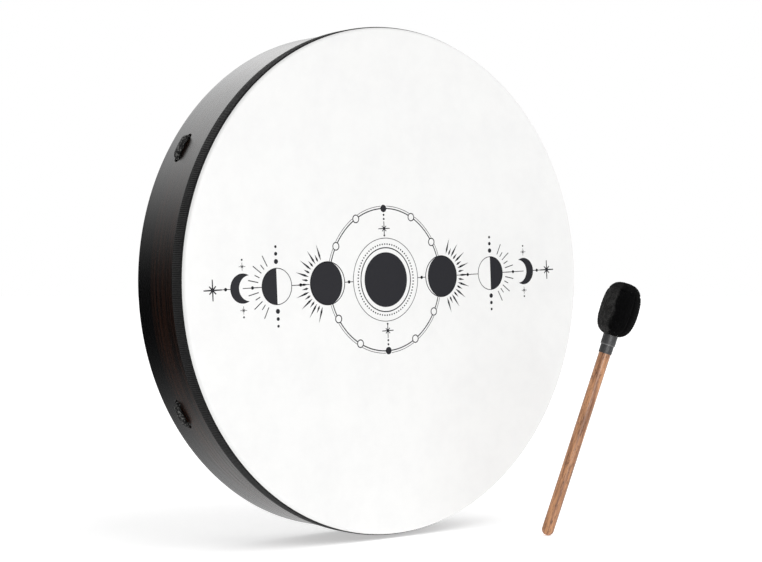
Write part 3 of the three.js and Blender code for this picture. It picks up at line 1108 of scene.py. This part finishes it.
def barrelRows():  # radius and height of the cover's outside, from the stick to the top
    look = coverLook
    low, high, radius = beaterSpan("beater_cover")[:3]
    mouth = beaterSpan("beater_upper_sleeve")[2] + 0.1 * mm
    belly = low + (high - low) * look["bellyShare"]
    low -= look["neckDrop"]
    high -= look["crownDrop"]
    lowerRows = round(look["rows"] * look["lowerRows"])
    atStick = math.acos((mouth / radius) ** (look["lowerSquareness"] / 2))
    rows = []
    for i in range(look["rows"]):
        if i < lowerRows:
            a = atStick * (1 - i / lowerRows)
            square = look["lowerSquareness"]
            height = low - belly
        else:
            a = math.pi / 2 * (i - lowerRows) / (look["rows"] - lowerRows)
            square = look["upperSquareness"]
            height = high - belly
        rows.append((radius * math.cos(a) ** (2 / square), belly + height * math.sin(a) ** (2 / square)))
    return rows, high


def seamWeights(points, low, high):  # 1 on a seam, falling to 0 beside it
    look = coverLook
    turn = np.degrees(np.arctan2(points[:, 1], points[:, 0])) - look["seamTurn"]
    panel = 360 / look["panels"]
    beside = np.abs((turn + panel / 2) % panel - panel / 2)
    away = np.hypot(points[:, 0], points[:, 1])
    share = (points[:, 2] - low) / (high - low)
    upright = np.exp(-(np.radians(beside) * away / look["seamWidths"][0]) ** 2)
    upright = upright * (share < look["capSeam"] + 0.01)
    cap = np.exp(-((share - look["capSeam"]) * (high - low) / look["seamWidths"][1]) ** 2)
    return np.maximum(upright, cap)


def puffed(piece, pinned):  # the stuffed skin swells between its seams
    look = coverLook
    mesh = piece.data
    rest = np.array([v.co for v in mesh.vertices])
    mesh.transform(Matrix.Scale(look["simScale"], 4))
    group = piece.vertex_groups.new(name="sewn")
    group.add(pinned, 1.0, "REPLACE")
    cloth = piece.modifiers.new("puff", "CLOTH")
    cloth.settings.vertex_group_mass = "sewn"
    cloth.settings.quality = look["quality"]
    cloth.settings.mass = look["mass"]
    cloth.settings.use_pressure = True
    cloth.settings.uniform_pressure_force = look["pressure"]
    cloth.settings.effector_weights.gravity = 0
    cloth.point_cache.frame_start = 1
    cloth.point_cache.frame_end = look["puffFrames"]
    for number in range(1, look["puffFrames"] + 1):
        bpy.context.scene.frame_set(number)
    blown = evaluated(piece)
    moved = np.array([v.co for v in blown.vertices]) / look["simScale"]
    bpy.data.meshes.remove(blown)
    bpy.context.scene.frame_set(1)
    piece.modifiers.clear()
    piece.vertex_groups.clear()
    step = moved - rest
    length = np.maximum(np.linalg.norm(step, axis=1, keepdims=True), 1e-9)
    capped = rest + step / length * look["mostPuff"] * np.tanh(length / look["mostPuff"])
    mesh.vertices.foreach_set("co", capped.ravel())
    mesh.update()
    print("cover puffed by", round(float(length.max() / mm), 2), "mm before the cap")


def buildCover():
    look = coverLook
    rows, top = barrelRows()
    points, faces = turned(rows + [(0, top)], look["sides"], aroundY=False, closes=False)
    low = rows[0][1]
    weights = seamWeights(points, low, top)
    piece = makePiece("cover_plush", points, faces, plushFinish(), 180)
    pinned = [int(i) for i in np.flatnonzero(weights > 0.55)] + list(range(look["sides"]))
    puffed(piece, pinned)
    smooth = piece.modifiers.new("smooth", "SUBSURF")
    smooth.levels = 2
    smooth.render_levels = 2
    takeMesh(piece, evaluated(piece))
    mesh = piece.data
    outer = np.array([v.co for v in mesh.vertices])
    normals = np.array([v.normal for v in mesh.vertices])
    weights = seamWeights(outer, low, top)
    broad, fine = look["pileScales"]
    pile = np.array([noise.noise(Vector(p) * broad) + 0.6 * noise.noise(Vector(p) * fine) for p in outer])
    spread = random.uniform(-1, 1, len(outer))
    reach = look["pileHeight"] * (0.6 * pile + 0.4 * spread) - look["seamDepth"] * weights
    swell = np.sin(np.clip((outer[:, 2] - low) / (top - low), 0, 1) * math.pi)[:, None]
    outer = outer + swell * np.array([*look["offCentre"], 0])
    outside = outer + normals * reach[:, None]
    inside = outer - normals * look["thickness"]
    outerFaces = [list(p.vertices) for p in mesh.polygons]
    count = len(outer)
    innerFaces = [[count + i for i in f[::-1]] for f in outerFaces]
    rim = mouthEdges(outerFaces)
    bridge = [[b, a, count + a, count + b] for a, b in rim]
    whole = makePiece("cover_stuffed", np.vstack([outside, inside]), outerFaces + innerFaces + bridge,
                      piece.data.materials[0], 180)
    bpy.data.objects.remove(piece)
    layBeater(whole, "black_plush", "beater_cover")


def mouthEdges(faces):  # edges that only one face uses, in that face's direction
    used = {}
    for face in faces:
        for a, b in zip(face, face[1:] + face[:1]):
            used[(a, b)] = True
    return [edge for edge in used if (edge[1], edge[0]) not in used]


def hiddenFinish(name, colour, pale, scale):
    f = Finish(name)
    crumb = f.noise(scale, 4.0, 0.7)
    shade = f.mixed(f.between(crumb, 0.35, 0.7), colour, pale)
    return f.surface(Base_Color=shade, Roughness=0.8 + crumb * 0.15, Normal=f.bump(crumb, 0.3 * mm))


def dressNode(node, material):
    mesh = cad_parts[node].data
    mesh.materials.clear()
    mesh.materials.append(material)


def buildBeater():
    buildStick()
    rubber = sleeveFinish()
    buildSleeve("beater_lower_sleeve", "shrink_sleeve_lower", rubber)
    buildSleeve("beater_upper_sleeve", "shrink_sleeve_upper", rubber)
    dressNode("beater_padding", hiddenFinish("feltPadding", (0.14, 0.14, 0.145), (0.2, 0.2, 0.2), 700))
    dressNode("beater_core", hiddenFinish("pressedCork", (0.2, 0.11, 0.055), (0.36, 0.22, 0.12), 320))
    buildCover()


# Studio: pale floor, white surroundings, soft lights, and the camera.

studioLook = {
    "floorSize": 60.0,
    "floorColour": (0.95, 0.95, 0.95),
    "floorGlow": 0.45,
    "ambient": 0.585,
    "sunStrength": 1.08,
    "sunFrom": (0.25, -1.0, 0.95),
    "sunWidth": 55.0,  # degrees
    "backGlow": 2.8,  # brightest part of the light that the rim reflects from above
    "backStops": ((0.0, 0.0), (0.16, 0.04), (0.32, 0.13), (0.46, 0.26), (0.59, 0.45), (0.78, 0.8),
                  (0.9, 1.0)),
    "backTop": 1.8,
    "backAway": 2.2,
    "backSides": (-3.4, 3.0),
    "cardSides": (-3.4, 0.3),
    "cardGlow": 1.25,
    "floorStops": ((0.18, 0.76), (0.245, 0.53), (0.35, 0.2), (0.45, 0.08), (0.6, 0.02), (0.88, 0.0)),
    "floorReach": 2.0,
    "stripGlow": 24.0,
    "stripPlace": ((-0.22, -0.1), -0.8, 0.35),  # its sides, its distance and its top
    "cameraAway": 1.8835,  # camera to the middle of the playing face
    "cameraHeading": 39.76,  # degrees from straight on
    "lens": 80.72,
    "shiftX": -0.0222,
}


def plainFinish(name, colour, roughness, glow=0.0):
    f = Finish(name)
    return f.surface(Base_Color=colour, Roughness=roughness, Specular_IOR_Level=0.0,
                     Emission_Color=(1, 1, 1), Emission_Strength=glow)


def gradedFinish(name, direction, reach, stops, glow):  # glows more or less along a direction
    f = Finish(name)
    along = f.node("VectorMath", {"operation": "DOT_PRODUCT"}, {0: f.place(), 1: direction}, "Value")
    colour = f.ramp(along / reach, [(place, (level,) * 3) for place, level in stops])
    return f.surface(Base_Color=(0, 0, 0), Roughness=1.0, Specular_IOR_Level=0.0,
                     Emission_Color=colour, Emission_Strength=glow)


rayKinds = ("camera", "diffuse", "glossy", "shadow")


def sheet(name, across, depth, height, material, seenBy=rayKinds):
    (left, right), (near, far), (low, high) = across, depth, height
    corners = [(left, near, low), (right, near, low), (right, far, high), (left, far, high)]
    mesh = bpy.data.meshes.new(name)
    mesh.from_pydata(corners, [], [(0, 1, 2, 3)])
    mesh.materials.append(material)
    limitSight(placed(name, mesh), seenBy)


def limitSight(made, seenBy):
    for kind in rayKinds:
        setattr(made, "visible_" + kind, kind in seenBy)


def buildStudio():
    look = studioLook
    half = look["floorSize"] / 2
    floor = plainFinish("paleFloor", look["floorColour"], 0.9, look["floorGlow"])
    sheet("studio_floor", (-half, half), (-half, half), (floorLevel, floorLevel), floor)
    away, top = look["backAway"], look["backTop"] * 1.15
    graded = gradedFinish("backGradient", (0, 0, 1), look["backTop"], look["backStops"], look["backGlow"])
    sheet("back_light", look["backSides"], (away, away), (floorLevel, top), graded, ("glossy",))
    low = floorLevel + 2 * mm
    graded = gradedFinish("floorGradient", (-1, 1, 0), look["floorReach"], look["floorStops"],
                          look["cardGlow"])
    sheet("floor_gradient", look["cardSides"], (0, away), (low, low), graded, ("glossy",))
    sides, away, top = look["stripPlace"]
    strip = plainFinish("stripGlow", (0, 0, 0), 1.0, look["stripGlow"])
    sheet("strip_light", sides, (away, away), (low, top), strip, ("glossy",))
    bpy.ops.mesh.primitive_uv_sphere_add(segments=48, ring_count=24, radius=half * 0.98)
    wall = bpy.context.object
    wall.name = "studio_wall"
    wall.data.materials.append(plainFinish("whiteWall", (0, 0, 0), 1.0, 1.0))
    limitSight(wall, ("camera",))
    sun = bpy.data.lights.new("soft_sun", "SUN")
    sun.energy = look["sunStrength"]
    sun.angle = math.radians(look["sunWidth"])
    light = placed("soft_sun", sun)
    light.rotation_mode = "QUATERNION"
    light.rotation_quaternion = Vector(look["sunFrom"]).to_track_quat("Z", "Y")
    light.visible_glossy = False
    world = bpy.data.worlds.new("studio")
    world.use_nodes = True
    background = world.node_tree.nodes["Background"]
    background.inputs["Color"].default_value = (1, 1, 1, 1)
    background.inputs["Strength"].default_value = look["ambient"]
    bpy.context.scene.world = world
    bpy.context.scene.view_settings.view_transform = "Standard"


def buildCamera():
    look = studioLook
    heading = math.radians(look["cameraHeading"])
    data = bpy.data.cameras.new("camera")
    data.lens = look["lens"]
    data.sensor_width = 36.0
    data.shift_x = look["shiftX"]
    camera = placed("camera", data)
    camera.location = (-look["cameraAway"] * math.sin(heading), -look["cameraAway"] * math.cos(heading), 0)
    camera.rotation_euler = (math.pi / 2, 0, -heading)
    bpy.context.scene.camera = camera


buildCamera()
veneer = stainedVeneer("stainedVeneer", 1.0)
coreVeneer = stainedVeneer("stainedCore", 1.5)
buildShell()
print("shell bent and drilled")
buildHead()
buildPrint()
print("head stretched and printed")
buildRibbon()
print("ribbon laid")
buildGrip()
print("grip laced")
buildBeater()
print("beater made")
buildStudio()
